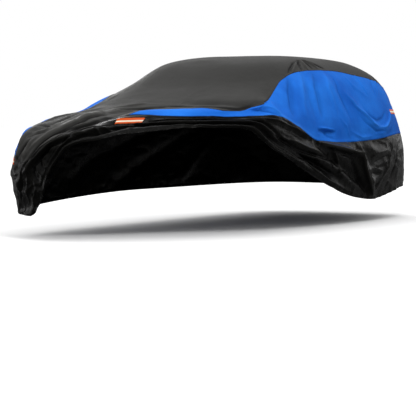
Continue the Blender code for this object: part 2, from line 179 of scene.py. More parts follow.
def base_points(bearing, level):
    """Points of the smooth draped surface. Levels below 0 run in to the middle of the crest."""
    bearing = np.asarray(bearing, float)
    level = np.asarray(level, float)
    rings = ring_points(bearing)
    last = len(RINGS) - 1
    span = np.linalg.norm(rings[1:] - rings[:-1], axis=-1)[..., None]
    slope = (rings[1:] - rings[:-1]) / span
    tangent = np.concatenate([slope[:1], slope[:-1], slope[-1:]])
    share = span[1:] / (span[1:] + span[:-1])
    tangent[1:last] = slope[:-1] * share + slope[1:] * (1 - share)
    from_middle = (rings[0, :, 1] - CREST_MIDDLE) / CREST_HALF
    end_drop = np.where(from_middle < 0, CREST.front_z, CREST.rear_z) - CREST.side_z
    tangent[0, :, 2] = tangent[0, :, 1] * 2 * end_drop * from_middle / CREST_HALF
    index = np.clip(level.astype(int), 0, last - 1)
    f = np.maximum(level - index, 0)[:, None]
    column = np.arange(len(bearing))
    slope_a = tangent[index, column] * span[index, column]
    slope_b = tangent[index + 1, column] * span[index, column]
    points = cubic(f, rings[index, column], slope_a, rings[index + 1, column], slope_b)
    inside = level < 0
    shrink = 1 + level[inside]
    points[inside, 0] *= shrink
    points[inside, 1] = CREST_MIDDLE + (points[inside, 1] - CREST_MIDDLE) * shrink
    points[inside, 2] = crest_rise(points[inside, 1])
    return points


def line_level(table, bearing):
    """The level of a seam or hem at each bearing, by a smooth curve through its table."""
    at, levels = np.array(table, float).T
    chord = np.diff(levels) / np.diff(at)
    same_way = chord[:-1] * chord[1:] > 0
    total = np.where(same_way, chord[:-1] + chord[1:], 1)
    inner = np.where(same_way, 2 * chord[:-1] * chord[1:] / total, 0)
    slope = np.concatenate([chord[:1], inner, chord[-1:]])
    bearing = np.clip(bearing, at[0], at[-1])
    i = np.clip(np.searchsorted(at, bearing, side="right") - 1, 0, len(at) - 2)
    width = at[i + 1] - at[i]
    f = (bearing - at[i]) / width
    return cubic(f, levels[i], slope[i] * width, levels[i + 1], slope[i + 1] * width)


def down_and_out(bearing, level):
    """Unit vectors down the smooth surface and out of it."""
    around = base_points(bearing + TURN, level) - base_points(bearing - TURN, level)
    down = base_points(bearing, level + DROP) - base_points(bearing, level - DROP)
    out = np.cross(down, around)
    return [v / np.linalg.norm(v, axis=1)[:, None] for v in (down, out)]


# ---- folds

# The solids' own folds: the same places, heights and widths as in the part's source.
# Each row is a fold's name, height, width and places.
MAIN_CREASES = (
    ("bonnet_valley", -30, 55, ((8, 2.8), (0, 2.9), (-4, 3.9), (-10, 4.7), (-20, 5.3), (-25, 5.8))),
    ("bonnet_lip", 34, 45, ((8, 4.5), (-2, 4.6), (-12, 4.9), (-19, 5.3), (-26, 5.95), (-30, 6.6))),
    ("bonnet_roll", 26, 70, ((-13, 2.7), (-18, 3.2), (-17, 3.8), (-16, 4.5), (-22, 5.2))),
    ("bonnet_hollow", -20, 50, ((-22, 3.2), (-25, 3.9), (-27, 4.6), (-33, 5.3))),
    ("corner_roll", 20, 50, ((-32, 4.2), (-33, 4.9), (-33, 5.6), (-36, 6.3))),
    ("sill_roll", 30, 75, ((9, 4.1), (17, 3.55), (26, 3.2), (38, 3.3))),
    ("screen_foot", -18, 50, ((16, 2.55), (28, 2.6), (42, 2.75), (50, 2.9))),
    ("quarter_swag", 20, 45, ((98, 2.5), (106, 3), (112, 3.9), (119, 4.45), (124, 4.1), (126, 3.5))),
    ("door_hollow_a", -12, 50, ((63, 1.8), (65, 2.6), (71, 3.8))),
    ("door_hollow_b", -16, 50, ((73, 1.65), (75, 2.6), (83, 3.9))),
    ("door_roll", 12, 50, ((88, 1.75), (91, 2.5), (96, 3.3), (102, 4.3))),
    ("shoulder_ledge", 40, 45, ((88, 5.2), (98, 5.45), (107, 5.6))),
    ("skirt_fold", 34, 45, ((105, 5.15), (109, 6), (113, 6.5), (116, 6.98))),
    ("skirt_fan_a", -34, 55, ((90, 5.7), (101, 6.2), (112, 6.75))),
    ("skirt_fan_b", 24, 40, ((82, 5.2), (92, 5.95), (104, 6.5), (113, 6.85))),
    ("skirt_fan_c", 26, 45, ((62, 4.35), (72, 4.7), (82, 5.4), (90, 5.9))),
    ("rear_crinkle_a", 14, 45, ((109, 6.6), (115, 6.5), (121, 6.2), (125, 5.9))),
    ("rear_crinkle_b", 12, 45, ((109, 5.3), (116, 5.7), (123, 5.6))),
    ("rear_pull_left", 18, 60, ((158, 4.8), (163, 5.6), (161, 6.6))),
    ("rear_pull_right", 18, 60, ((-160, 4.7), (-166, 5.5), (-163, 6.7))),
    ("right_swag_a", 20, 55, ((-118, 2.4), (-110, 3.2), (-100, 3.9), (-92, 4.2))),
    ("right_swag_b", -14, 55, ((-66, 2.2), (-70, 3), (-76, 3.9))),
    ("right_skirt_a", 26, 60, ((-96, 4.5), (-86, 5.3), (-74, 6), (-64, 6.6))),
    ("right_skirt_b", 22, 55, ((-112, 4.7), (-104, 5.5), (-92, 6.2), (-80, 6.7))),
    ("right_skirt_c", -18, 55, ((-122, 5), (-116, 5.8), (-108, 6.6))),
    ("nose_fold", 12, 50, ((-26, 6), (-32, 6.4), (-44, 6.7))),
)
CREASE_END = 0.02
CREASE_REACH = (20, 1.6)  # bearing and level past its places within which a crease is felt
PLEATS = 2
PLEAT_HEIGHT = 16
PLEAT_DEPTH = 0.68
PLEAT_FADE = (0.8, 1.05)
PLEAT_WINDOW = (-20, -2, 88, 104)
# The bulges over the door mirrors, broader and lower than the solids': place, height and radius.
BUMPS = (
    ((0.84, -0.74, 0.99), 0.050, 0.105),
    ((-0.84, -0.74, 0.99), 0.045, 0.110),
)

# Finer creases, each a soft ridge, or a trough where its height is negative. Lean makes the
# side to the left of its places steeper, or to the right where it is negative.
Fine = namedtuple("Fine", "height width places lean", defaults=(0,))
FINE_CREASES = (
    # two low ridges that hide the far seam
    (13, 18, ((-36.4, 2.9), (-35.7, 3.2), (-34.9, 3.7), (-34.4, 4.2), (-34.2, 4.64))),
    (8, 18, ((-33.8, 4.88), (-33.3, 5.06), (-32.8, 5.3))),
    # the bonnet
    (-30, 12, ((-14.5, 4.68), (-13, 4.5), (-12.5, 4.2), (-13, 3.9), (-12.5, 3.64), (-11, 3.4))),
    (26, 20, (
        (-15.6, 4.66), (-14.2, 4.46), (-13.7, 4.18), (-14.2, 3.9), (-13.8, 3.62), (-13.5, 3.3),
    ), 0.4),
    (24, 16, ((-11.8, 4.74), (-11.5, 4.56), (-10.5, 4.36), (-8.5, 4.1), (-7.5, 3.9), (-6, 3.7)), 0.3),
    (-33, 14, ((-10.5, 4.84), (-10, 4.5), (-8.5, 4.22), (-7, 3.94), (-7, 3.62), (-3, 3.55))),
    (18, 24, ((-28, 2.78), (-31, 2.96), (-31.5, 3.24), (-28, 3.72), (-28, 4.08))),
    (-12, 16, ((-25, 2.92), (-26, 3.2), (-23, 3.68), (-22.5, 4), (-23.5, 4.28))),
    (18, 18, (
        (-19, 3.08), (-19.5, 3.4), (-18.5, 3.8), (-19.5, 4.04), (-19, 4.38), (-19, 4.66), (-20, 4.88),
    )),
    (-15, 10, ((-32, 4.5), (-28.5, 4.38), (-23.5, 4.34), (-21.5, 4.2)), 0.3),
    (13, 12, ((-32.5, 4.84), (-28, 4.76), (-23, 4.74), (-19.5, 4.62), (-19, 4.4))),
    (-13, 12, ((-30.5, 4.98), (-26, 4.84), (-21, 4.8), (-18, 4.74))),
    (18, 14, ((-25, 4.96), (-26.5, 5.2), (-27.5, 5.48), (-28.5, 5.76))),
    (-15, 12, ((-27.5, 4.98), (-29.5, 5.24), (-31, 5.52), (-32, 5.84))),
    (-18, 10, ((10.5, 2.7), (1, 2.76), (-7.5, 2.84), (-13.5, 2.96), (-15, 3.24), (-12.5, 3.58)), 0.4),
    # the foot of the screen and the bonnet beyond its right end
    (-17, 18, ((27, 2.74), (34, 2.76), (41, 2.88), (46, 2.96), (50, 2.8))),
    (-13, 11, ((6, 2.74), (12, 2.7), (20, 2.7), (28, 2.72), (36, 2.76))),
    (20, 14, ((-6, 2.9), (-12, 3.04), (-14.5, 3.3), (-16, 3.7)), 0.3),
    (14, 13, ((-5, 2.56), (-13, 2.72), (-20, 2.92), (-24, 3.1)), 0.3),
    # the fan at the edge of the roof
    (-17, 16, ((76, 1.02), (69, 1.25), (65, 1.5), (63, 1.72)), 0.3),
    (14, 14, ((77, 1.0), (71, 1.25), (68, 1.45), (66, 1.68))),
    (-20, 15, ((78, 0.98), (75, 1.2), (73.5, 1.4), (73, 1.6)), -0.3),
    (15, 14, ((79, 0.96), (78, 1.2), (77.5, 1.4), (77.5, 1.58))),
    (-19, 15, ((80, 0.94), (81, 1.2), (81.5, 1.4), (82, 1.56)), 0.3),
    (14, 15, ((82, 0.92), (84.5, 1.2), (86, 1.4), (87, 1.55))),
    (-15, 15, ((84, 0.92), (88, 1.2), (91, 1.4), (93, 1.54))),
    # the right side, beside the bonnet
    (14, 30, ((-45, 2.3), (-43.5, 2.6), (-42.5, 2.9))),
    (12, 26, ((-39.5, 4.4), (-38.5, 4.7), (-37.5, 5))),
    # down the left doors
    (12, 38, ((70.5, 1.64), (69.5, 2.32), (72, 2.88), (77, 3.76))),
    (-13, 30, ((63, 1.84), (63.5, 2.44), (66.5, 3), (71.5, 3.84)), 0.2),
    (-14, 32, ((80, 1.68), (78.5, 2.36), (81.5, 2.9), (85.5, 3.76)), 0.2),
    (10, 30, ((88.5, 1.68), (87, 2.36), (90.5, 2.9), (94, 3.62))),
    (-9, 22, ((94, 1.76), (94, 2.48), (98.5, 3.08), (102.5, 3.98))),
    # the hanging swag
    (18, 12, ((97.5, 2.48), (102.5, 2.84), (108, 3.4), (113, 3.96), (116.5, 4.2)), 0.4),
    (18, 12, ((116.5, 4.2), (120, 4.16), (123.5, 3.76), (127, 3.16)), -0.4),
    (-12, 16, ((108.5, 2.98), (112.5, 3.48), (116.5, 3.8), (120, 3.64), (123.5, 3.16))),
    (-10, 12, ((104.5, 3.3), (110, 3.92), (115.5, 4.5), (121, 4.48))),
    # the dart over the wheel
    (16, 9, ((85, 4.24), (88.5, 4.3), (94.5, 4.46))),
    (-22, 18, ((85.5, 4.46), (90, 4.58), (95.5, 4.6))),
    (-20, 14, ((90, 4.56), (91.5, 4.76), (92.5, 4.98))),
    # below the roof
    (8, 8, ((133, 1.68), (125, 2.1), (122, 2.6))),
    (-8, 9, ((126, 1.7), (120.5, 2.24), (120, 2.7))),
    (8, 10, ((114, 1.64), (113, 2.24), (115.5, 2.68))),
    (8, 14, ((103.5, 1.78), (106, 2.24), (111, 2.5), (115, 2.72))),
    # behind the mirror
    (14, 11, ((48.5, 2.98), (52.5, 3), (57.5, 3.32), (61.5, 3.6), (65, 3.8)), 0.3),
    (-18, 12, ((51, 3.14), (54, 3.2), (58, 3.52), (62, 3.8), (66, 4))),
    # low on the doors and at the rear
    (9, 14, ((102.5, 4.5), (109, 4.96), (115, 4.84))),
    (-8, 12, ((88, 4.5), (92.5, 4.92), (97.5, 5.16))),
    (8, 12, ((94, 3.52), (99.5, 4.12), (103, 4.92))),
    (6, 10, ((133.5, 2.12), (133.5, 2.58), (131.5, 2.96))),
    # the arch over the nose and the rolls beside it
    (-30, 11, (
        (-5, 4.22), (-10, 4.42), (-13, 4.62), (-15.5, 4.84), (-17.5, 5), (-19.5, 5.2), (-21.8, 5.46),
        (-24, 5.74), (-25.8, 5.98), (-27, 6.12),
    )),
    (-22, 12, ((24.5, 4.8), (19, 4.84), (12, 4.68), (5, 4.56), (-1, 4.5))),
    (12, 20, ((-13, 4.5), (-16, 4.7), (-19, 4.88), (-22, 5.12), (-25.5, 5.4), (-28, 5.68), (-29.5, 5.9))),
    (22, 9, (
        (1.5, 4.8), (-4.5, 4.86), (-9.5, 4.96), (-13, 5.12), (-16, 5.3), (-18.5, 5.5), (-21.5, 5.74),
        (-24, 5.98), (-25, 6.12),
    )),
    (-26, 11, ((-8, 5.06), (-12, 5.2), (-15, 5.38), (-17.5, 5.58), (-20, 5.8), (-22.5, 6.04))),
    (12, 30, ((-7, 4.62), (-4, 4.36), (-2.5, 4.1), (-2, 3.8))),
    (10, 12, ((8.5, 4.78), (3, 4.7), (-1.5, 4.78), (-5, 4.96), (-8, 5.16))),
    (-9, 10, ((8, 4.92), (3, 4.9), (-1.5, 4.98), (-5, 5.18))),
    (8, 8, ((-1.5, 4.6), (2.5, 4.78), (6.5, 4.98))),
    (8, 8, ((13, 4.84), (17, 5.04), (20.5, 5.12))),
    (7, 8, ((5, 4.74), (9.5, 4.9), (14, 5.04))),
    # the front right corner
    (12, 10, ((-12, 5.18), (-13.5, 5.36), (-14.5, 5.56))),
    (-12, 10, ((-14, 5.18), (-15.5, 5.38), (-16.5, 5.62))),
    (12, 10, ((-15.5, 5.48), (-17, 5.76), (-14, 6.04), (-12.5, 6.18))),
    (-10, 10, ((-17.5, 5.58), (-18.5, 5.84), (-16.5, 6.08))),
    (13, 10, ((-21, 5.88), (-18.5, 6.08), (-15.5, 6.2))),
    (-10, 10, ((-22.5, 5.96), (-20.5, 6.18), (-17, 6.32))),
    (9, 10, ((-21, 6.24), (-19.5, 6.44), (-21, 6.62), (-20.5, 6.8))),
    (-14, 12, ((-26.5, 6), (-27, 6.24), (-28, 6.48), (-30, 6.72))),
    (10, 12, ((-23.5, 6.04), (-24, 6.3), (-25, 6.6), (-24.5, 6.84))),
    (6, 12, ((-39, 6.2), (-32.5, 6.18), (-28, 6.08)), 0.3),
    (-10, 12, ((-39, 6.3), (-31.5, 6.24), (-28, 6.16))),
    (10, 10, ((-29, 5.32), (-28, 5.6), (-28, 5.84))),
    (9, 12, ((-30.5, 6.4), (-32, 6.6), (-32.5, 6.84))),
    # the pulled band beside the wheel
    (10, 8, ((51, 4.16), (56, 4.12), (61, 4.12), (67.5, 4.24), (74.5, 4.42), (82, 4.8))),
    (-20, 32, ((62, 4.38), (70, 4.56), (76, 4.76), (82, 5.04))),
    (22, 34, ((54, 3.9), (62, 3.95), (69, 4.08), (76, 4.4), (82.5, 4.8), (88, 5.15))),
    (18, 14, (
        (60, 4.74), (64.5, 4.84), (69.5, 4.9), (75.5, 5.08), (81.5, 5.38), (87, 5.62), (92, 5.84),
    ), 0.3),
    (-30, 18, ((65, 5), (71.5, 5.18), (78.5, 5.58), (84.5, 5.96), (90.5, 6.16), (95, 6.3), (99.5, 6.4))),
    (16, 12, (
        (58, 4.76), (63, 4.96), (68, 5.12), (74, 5.48), (80, 5.9), (87, 6.2), (93.5, 6.44),
        (102.5, 6.7), (108.5, 6.84),
    ), 0.3),
    (-14, 10, ((60.5, 5), (66.5, 5.24), (72.5, 5.56), (79, 6.04), (86, 6.28), (93, 6.5), (100, 6.7))),
    # the ledge, the glint under it and the fold beside them
    (36, 15, ((95, 5.56), (96.5, 5.88), (98, 6.1), (98, 6.34)), -0.4),
    (-14, 12, ((93, 5.62), (93, 5.98), (94.5, 6.18))),
    (42, 17, ((87, 5.16), (93.5, 5.36), (99, 5.5), (105, 5.64), (109.5, 5.74)), -0.4),
    (-26, 18, ((91, 5.44), (96.5, 5.62), (102.5, 5.8), (106, 5.9))),
    (18, 12, ((106.5, 5.18), (107.5, 5.68), (109.5, 6.16), (112, 6.5), (115, 6.9))),
    (-24, 20, ((102.5, 5.84), (106, 6.2), (109.5, 6.56), (113, 6.86))),
    # behind the fold
    (13, 11, ((113, 6), (116, 5.7), (120.5, 5.58))),
    (-10, 10, ((113.5, 6.12), (117.5, 6), (121.5, 5.84))),
    (12, 10, ((114.5, 6.2), (118.5, 6.12), (122, 6.04))),
    (12, 10, ((111, 6.24), (114.5, 6.24), (118.5, 6.3))),
    (-10, 10, ((112, 6.38), (114.5, 6.36), (118, 6.4))),
    (12, 11, ((113, 6.6), (114.5, 6.48), (118.5, 6.38))),
    (-10, 10, ((115, 6.76), (117, 6.6), (120, 6.5))),
    (14, 20, ((125.5, 4.88), (123.5, 5.58), (121, 6.2), (118, 6.56), (116, 6.84))),
    (-10, 16, ((127.5, 5.32), (126, 6.04), (123.5, 6.44), (120.5, 6.72))),
)
# The hollows count for more so that the painted shade in them is darker.
HOLLOW = 1.6  # how much more the hollows count than the ridges in how creased the cloth is
FINE_REACH = (14, 0.9)
FINE_TAPER, FINE_SHARPNESS = 0.7, 1.6
PATH_RUNS = 6  # straight runs from each place of a fine crease to the next

# Long pleats of the drawn-back skirt: their height and width, and the bearing and the share of
# the way from seam to hem of their two ends.
PLEAT_LINES = (
    (-12, 9, 2, 0.20, 64, 0.16),
    (10, 8, 4, 0.36, 64, 0.34),
    (-14, 9, 6, 0.52, 62, 0.50),
    (11, 8, 8, 0.68, 62, 0.66),
    (-10, 8, 10, 0.82, 62, 0.80),
)
PLEAT_LEAN = 0.3
PLEAT_PLACES = 14


def path_distance(points, path):
    """How far each point is from a path, the share of its length nearest to it, and the run."""
    runs = np.linalg.norm(np.diff(path, axis=0), axis=1)
    starts = np.concatenate([[0], np.cumsum(runs)])
    best = np.full(len(points), np.inf)
    share = np.zeros(len(points))
    nearest = np.zeros(len(points), int)
    for i, run in enumerate(runs):
        step = path[i + 1] - path[i]
        along = np.clip((points - path[i]) @ step / run**2, 0, 1)
        away = np.linalg.norm(points - path[i] - along[:, None] * step, axis=1)
        nearer = away < best
        best = np.where(nearer, away, best)
        share = np.where(nearer, (starts[i] + along * run) / starts[-1], share)
        nearest = np.where(nearer, i, nearest)
    return best, share, nearest


def signed_distance(points, bearing, level, places):
    """Distance of each point from a path along the surface, with a sign for its side of it."""
    at, levels = np.array(places, float).T
    dense = np.linspace(0, len(at) - 1, PATH_RUNS * (len(at) - 1) + 1)
    at = np.interp(dense, np.arange(len(at)), at)
    levels = np.interp(dense, np.arange(len(levels)), levels)
    away, share, i = path_distance(points, base_points(at, levels))
    turn = (at[i + 1] - at[i]) * (level - levels[i])
    turn -= (levels[i + 1] - levels[i]) * (bearing - at[i])
    return away * np.sign(turn), share


def near(bearing, level, places, reach):
    """Which points lie near enough to a crease's places to feel it."""
    here, places = np.stack([bearing, level], -1), np.array(places, float)
    return np.all((here > places.min(0) - reach) & (here < places.max(0) + reach), axis=1)


def main_height(bearing, level, points):
    """How far the solids' own folds push the cloth out from the smooth surface, and the bumps."""
    height = np.zeros(len(points))
    for _, high, width, places in MAIN_CREASES:
        some = near(bearing, level, places, CREASE_REACH)
        path = base_points(*np.array(places, float).T)
        away, share, _ = path_distance(points[some], path)
        taper = np.sqrt(np.sin(math.pi * np.clip(share, CREASE_END, 1 - CREASE_END)))
        height[some] += high / MM * taper * np.exp(-((away / (width / MM)) ** 2))
    above_hem = (line_level(HEM, bearing) - level) / PLEAT_DEPTH
    shown = window(bearing, *PLEAT_WINDOW) * (1 - smoothstep(above_hem, *PLEAT_FADE))
    height += PLEAT_HEIGHT / MM * shown * np.sin(2 * math.pi * PLEATS * above_hem)
    bumps = np.zeros(len(points))
    for place, out, radius in BUMPS:
        away = np.linalg.norm(points - np.array(place), axis=1)
        bumps += out * np.exp(-((away / radius) ** 2))
    return height, bumps


def fine_height(bearing, level, points):
    """How far the finer creases push the cloth out, and the same with their hollows deepened."""
    height, creased = np.zeros(len(points)), np.zeros(len(points))
    for crease in ALL_FINE:
        some = near(bearing, level, crease.places, FINE_REACH)
        away, share = signed_distance(points[some], bearing[some], level[some], crease.places)
        width = crease.width / MM * (1 - crease.lean * np.sign(away))
        taper = np.sin(math.pi * np.clip(share, 0, 1)) ** FINE_TAPER
        change = crease.height / MM * taper * np.exp(-np.abs(away / width) ** FINE_SHARPNESS)
        height[some] += change
        creased[some] += change * (HOLLOW if crease.height < 0 else 1)
    return height, creased


def pleat_crease(height, width, start, start_share, stop, stop_share):
    """A long pleat as a fine crease."""
    at = np.linspace(start, stop, PLEAT_PLACES)
    share = np.linspace(start_share, stop_share, PLEAT_PLACES)
    seam, hem = line_level(SKIRT_SEAM, at), line_level(HEM, at)
    return Fine(height, width, tuple(zip(at, seam + (hem - seam) * share)), PLEAT_LEAN)


ALL_FINE = [Fine(*row) for row in FINE_CREASES] + [pleat_crease(*row) for row in PLEAT_LINES]

LATTICE = 32  # random values along each side of the block that the noise repeats
CRUMPLE = 0.14  # size of the crumpling
CRUMPLE_SEED = 11
CRUMPLE_LEVEL = 0.35  # what part of it stands below the smooth cloth
STRETCH = np.array([1.0, 0.5, 1.0])  # makes the crumpling longer along the car
FRONT_STRETCH = np.array([0.4, 1.0, 1.0])  # and across it at the front
TAUT, SIDE, BONNET = 0.001, 0.002, 0.004  # heights of the crumpling
SKIRT, PULLED, FRONT, CURTAIN = 0.007, 0.001, 0.002, 0.006


def noise(points, scale, seed):
    """Smooth random values from -1 to 1 whose features are about scale metres across."""
    lattice = np.random.default_rng(seed).uniform(-1, 1, (LATTICE,) * 3)
    at = points / scale + 100
    cell = np.floor(at).astype(int)
    f = at - cell
    f = f * f * (3 - 2 * f)
    total = np.zeros(len(points))
    for corner in np.ndindex(2, 2, 2):
        weight = np.prod(np.where(corner, f, 1 - f), axis=1)
        i, j, k = ((cell + corner) % LATTICE).T
        total += weight * lattice[i, j, k]
    return total


def crumple(points):
    """Creased cloth from 0 in the hollows to 1 on sharp, wandering ridges."""
    bend = np.stack([noise(points, CRUMPLE * 1.7, CRUMPLE_SEED + i) for i in (1, 2, 3)], -1)
    moved = points + bend * CRUMPLE * 0.45
    ridge = 1 - np.abs(noise(moved, CRUMPLE, CRUMPLE_SEED + 4)) * 1.6
    finer = 1 - np.abs(noise(moved, CRUMPLE * 0.45, CRUMPLE_SEED + 5)) * 1.6
    return np.clip(0.7 * ridge + 0.3 * finer, 0, 1) ** 1.5


def front_share(bearing):
    return window(bearing, -50, -25, 8, 24)


def crumple_height(bearing, level):
    """Height of the crumpling: least on the taut roof and sides, most on the drawn-back skirt."""
    below = smoothstep(level - line_level(SKIRT_SEAM, bearing), -0.15, 0.35)
    front = front_share(bearing)
    bonnet = front * smoothstep(level, 2.2, 3.2)
    pulled = window(bearing, 50, 80, 128, 150)
    side = smoothstep(level, 1.5, 2.2) * (1 - smoothstep(-np.abs(bearing), -24, -10))
    curtain = front * smoothstep(level, 5.5, 5.9)
    skirt = SKIRT + PULLED * pulled + FRONT * front + CURTAIN * curtain
    return TAUT + SIDE * side + BONNET * bonnet + below * skirt


GATHER = 0.0024  # height of the gathers that the elastic draws in
GATHER_PITCH = 0.085
GATHER_DEPTH = 0.14  # levels above the hem over which they fade
GATHER_SEED = 21
HEM_RADIUS = 1.9  # turns a bearing into a length along the hem


def hem_ripple(bearing, level):
    """The gathers beside the hem, smaller where it is drawn back."""
    hem = line_level(HEM, bearing)
    along = np.radians(bearing) * HEM_RADIUS
    slack = 1 - 0.7 * window(bearing, -14, 0, 96, 112)
    phase = 5 * noise(np.stack([along, along * 0, along * 0 + 3], -1), 0.3, GATHER_SEED)
    wave = np.sin(along * 2 * math.pi / GATHER_PITCH + phase)
    return GATHER * slack * wave * np.exp(-np.abs(hem - level) / GATHER_DEPTH)


STRIP_CALM = (0.022, 0.065)  # how far from a strip's middle the cloth begins to crease, and does
TIP_RUN = 10  # degrees beyond a strip's ends
TIP_END = 0.31  # share of that length over which the tipping begins, and ends


def beside_strips(bearing, level, points):
    """How freely the cloth creases, from 0 under a strip to 1, and how high it tips there."""
    free, tipped = np.ones(len(points)), np.zeros(len(points))
    for strip in STRIPS:
        places = tuple(zip(strip.bearings, strip.levels))
        away = np.abs(signed_distance(points, bearing, level, places)[0])
        free *= smoothstep(away, *STRIP_CALM)
        if strip.tip:
            (start, stop), levels = strip.bearings, strip.levels
            longer = ((start - TIP_RUN, levels[0]), (stop + TIP_RUN, levels[1]))
            below, share = signed_distance(points, bearing, level, longer)
            ends = window(share, 0, TIP_END, 1 - TIP_END, 1)
            hung = np.maximum(below, -STRIP_WIDTH / 2) + STRIP_WIDTH / 4
            tipped -= strip.tip * ends * hung * (1 - smoothstep(np.abs(below), *STRIP_CALM))
    return free, tipped


def cloth(bearing, level):
    """Points of the cloth's outer face, and how strongly it is creased at each."""
    bearing, level = wrapped(bearing), np.asarray(level, float)
    points = base_points(bearing, level)
    normals = down_and_out(bearing, np.maximum(level, 2 * DROP))[1]
    flatter = smoothstep(-level, 0, 0.5)[:, None]
    normals = normals * (1 - flatter) + np.array([0, 0, 1]) * flatter
    across = front_share(bearing) * (1 - smoothstep(level, 5.3, 5.7))
    crumpled = crumple(points * STRETCH) * (1 - across)
    crumpled += crumple(points * FRONT_STRETCH) * across
    wrinkle = crumple_height(bearing, level) * (crumpled - CRUMPLE_LEVEL)
    free, tipped = beside_strips(bearing, level, points)
    fine, creased = fine_height(bearing, level, points)
    folds, bumps = main_height(bearing, level, points)
    height = folds + bumps + (fine + wrinkle) * free + tipped + hem_ripple(bearing, level)
    points = points + normals * (height + SHEET / 2)[:, None]
    return points, (creased + wrinkle) * free + 0.5 * folds


# ---- materials

MIX_A, MIX_B, MIX_RESULT = 6, 7, 2  # the colour sockets of a mix node


def feed(tree, made, inputs):
    """Gives a node its inputs: values, or sockets to link from."""
    for key, value in inputs.items():
        if isinstance(value, bpy.types.NodeSocket):
            tree.links.new(value, made.inputs[key])
        else:
            made.inputs[key].default_value = value


def node(tree, kind, inputs=None, **settings):
    made = tree.nodes.new("ShaderNode" + kind)
    for name, value in settings.items():
        setattr(made, name, value)
    feed(tree, made, inputs or {})
    return made


def maths(tree, operation, a, b=0.0):
    return node(tree, "Math", {0: a, 1: b}, operation=operation).outputs[0]


def mixed(tree, factor, a, b):
    """A colour from a to b."""
    a, b = ((*x, 1) if isinstance(x, tuple) else x for x in (a, b))
    inputs = {"Factor": factor, MIX_A: a, MIX_B: b}
    return node(tree, "Mix", inputs, data_type="RGBA").outputs[MIX_RESULT]


def split(tree, vector):
    return node(tree, "SeparateXYZ", {0: vector}).outputs


def placed(tree, layer):
    """Lengths along and across a piece, from one of its UV layers."""
    return split(tree, node(tree, "UVMap", uv_map=layer).outputs["UV"])[:2]


def noise_node(tree, scale, detail, roughness=0.5, warp=0.0):
    inputs = {"Scale": scale, "Detail": detail, "Roughness": roughness, "Distortion": warp}
    inputs["Vector"] = node(tree, "TexCoord").outputs["Object"]
    return node(tree, "TexNoise", inputs).outputs["Fac"]


def spread(tree, value, low, high, to_low=0.0, to_high=1.0):
    """A value taken from low..high to to_low..to_high and kept within them."""
    inputs = dict(enumerate((value, low, high, to_low, to_high)))
    return node(tree, "MapRange", inputs).outputs["Result"]


def bump(tree, height, strength, distance, under=None):
    """A normal with a height added, over another normal where one is given."""
    inputs = {"Height": height, "Strength": strength, "Distance": distance}
    if under is not None:
        inputs["Normal"] = under
    return node(tree, "Bump", inputs).outputs["Normal"]


def new_material(name):
    """A material, its nodes and its shader."""
    made = bpy.data.materials.new(name)
    made.use_nodes = True
    return made, made.node_tree, made.node_tree.nodes["Principled BSDF"]


WEAVE_PITCH = 0.0011
STITCH = 0.0042
THREAD_HALF = (0.0005, 0.0009)  # where the thread is whole and where it ends, from its middle
THREAD_RISE = (0.8, 0.0008)  # strength and height of the thread's bump


def weave_height(tree):
    """The over and under of a plain weave, from 0 to 1."""
    turns = [maths(tree, "MULTIPLY", x, math.pi / WEAVE_PITCH) for x in placed(tree, "weave")]
    warp, weft = (maths(tree, "ABSOLUTE", maths(tree, "SINE", x)) for x in turns)
    side = maths(tree, "MULTIPLY", *(maths(tree, "SINE", x) for x in turns))
    over = spread(tree, side, -0.25, 0.25)
    mix = node(tree, "Mix", {"Factor": over, "A": warp, "B": weft}, data_type="FLOAT")
    return mix.outputs["Result"]


def stitches(tree, rows):
    """Where the thread of stitching shows, at these distances from the panel's lower edge."""
    along, away = placed(tree, "edge")
    dash = maths(tree, "SINE", maths(tree, "MULTIPLY", along, 2 * math.pi / STITCH))
    dash = spread(tree, dash, -0.5, 0.0)
    found = 0.0
    for row in rows:
        off = maths(tree, "ABSOLUTE", maths(tree, "SUBTRACT", away, row))
        found = maths(tree, "ADD", found, spread(tree, off, *THREAD_HALF, 1.0, 0.0))
    return maths(tree, "MULTIPLY", dash, found)


# The third colour is a painted highlight on the ridges of creases, and the pair after it is how
# creased the cloth is where that highlight begins and where it is whole. Shade is how far the
# hollow of a crease is darkened, a painted shade.
Look = namedtuple(
    "Look", "name deep light worn wear roughness specular shade crinkle stitch_rows thread"
)
LOOKS = (
    Look(
        "charcoal_cloth", (0.0205, 0.0202, 0.0190), (0.0235, 0.0232, 0.0218), (0.070, 0.069, 0.065),
        (0.004, 0.020), 0.56, 0.09, 0.80, 0.15, (0.0035, 0.0105), (0.020, 0.020, 0.020),
    ),
    Look(
        "blue_cloth", (0.009, 0.102, 0.50), (0.019, 0.180, 0.72), (0.028, 0.215, 0.78),
        (0.004, 0.020), 0.70, 0.02, 0.20, 0.3, (0.0035, 0.0105), (0.004, 0.04, 0.25),
    ),
    Look(
        "black_cloth", (0.0009, 0.0009, 0.0007), (0.0018, 0.0017, 0.0013), (0.050, 0.049, 0.045),
        (0.014, 0.045), 0.27, 0.065, 0.85, 0.35, (0.021, 0.026), (0.014, 0.014, 0.012),
    ),
)
HOLLOW_DEPTHS = (-0.003, -0.013)  # how creased the cloth is where shade begins and is whole


